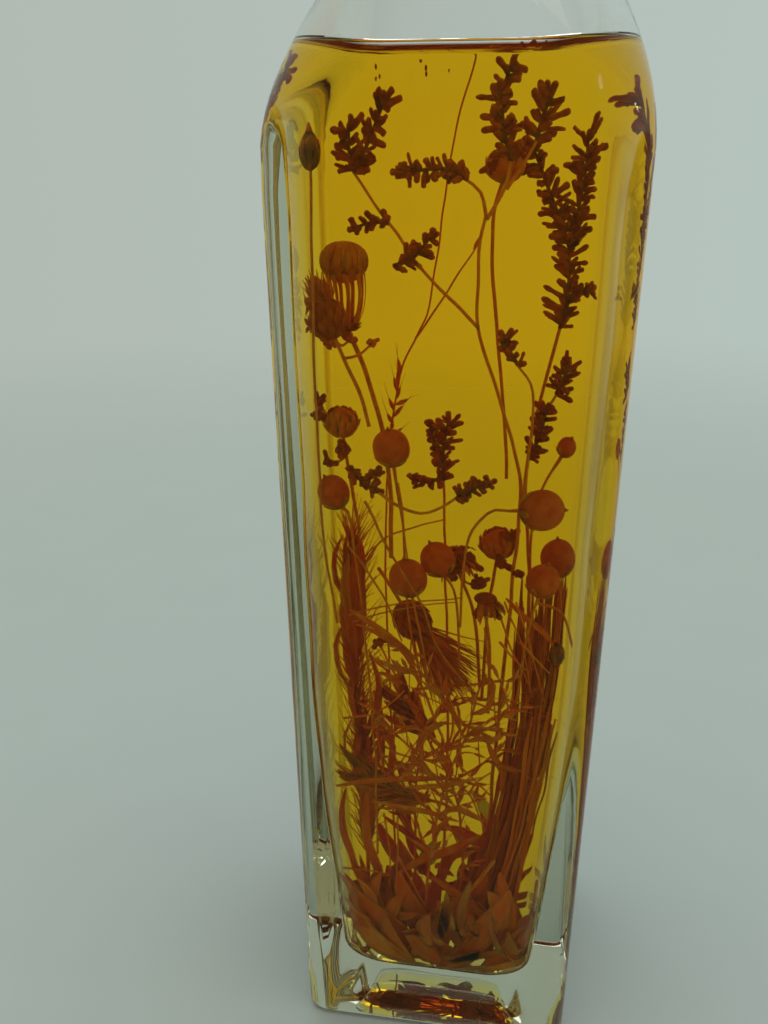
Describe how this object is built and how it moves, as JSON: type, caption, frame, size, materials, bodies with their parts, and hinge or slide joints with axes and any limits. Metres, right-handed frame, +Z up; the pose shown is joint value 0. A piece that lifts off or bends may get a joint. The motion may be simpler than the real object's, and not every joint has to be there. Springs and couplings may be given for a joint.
{
  "type": "square glass oil bottle with cork",
  "caption": "Tall square glass bottle with a round neck and cork, filled with amber oil in which dried flowers, seed heads and grasses stand.",
  "frame": {"origin": "middle of the plane that the bottle's base rests on", "axes": "+Z up through the neck and the cork, -Y out of the face that is the front, +X to the right of that face"},
  "size_m": [0.066, 0.066, 0.298],
  "materials": {
    "glass": "polished",
    "oil": "gloss",
    "cork": "matte",
    "statice": "matte",
    "boll": "satin",
    "flower": "matte",
    "knapweed": "matte",
    "grass": "matte",
    "straw": "matte",
    "leaf": "matte"
  },
  "bodies": {
    "bottle": {"glass_bottle": "glass", "oil": "oil", "statice_spray_tall": "statice", "statice_spray_right": "statice", "statice_sprig_back": "statice", "statice_sprig_front": "statice", "grass_stalk_long": "grass", "flax_boll_1": "boll", "flax_boll_2": "boll", "flax_boll_3": "boll", "flax_boll_4": "boll", "flax_boll_5": "boll", "flax_boll_6": "boll", "flax_boll_7": "boll", "flax_boll_8": "boll", "long_bud": "boll", "dome_flower": "flower", "knapweed_left": "knapweed", "everlasting_left": "flower", "everlasting_top": "flower", "daisy_dark": "flower", "everlasting_mid": "flower", "daisy_drooping": "flower", "knapweed_low": "knapweed", "straw_bundle_back": "straw", "straw_bundle_mid": "straw", "straw_bundle_front": "straw", "dark_seed": "boll", "hare_tail_grass": "grass", "grass_panicle_front": "grass", "grass_panicle_mid": "grass", "grass_panicle_back": "grass", "barley_ear_front": "straw", "barley_ear_back": "straw", "everlasting_low": "flower", "leaf_low_1": "leaf", "leaf_low_2": "leaf", "leaf_low_3": "leaf", "leaf_low_4": "leaf", "leaf_low_5": "leaf", "leaf_low_6": "leaf", "leaf_low_7": "leaf", "leaf_low_8": "leaf"},
    "cork": {"cork_stopper": "cork"}
  },
  "joints": [
    {"name": "cork_pull", "type": "slide", "parent": "bottle", "child": "cork", "axis": [0, 0, 1], "range_m": [0, 0.06]}
  ]
}
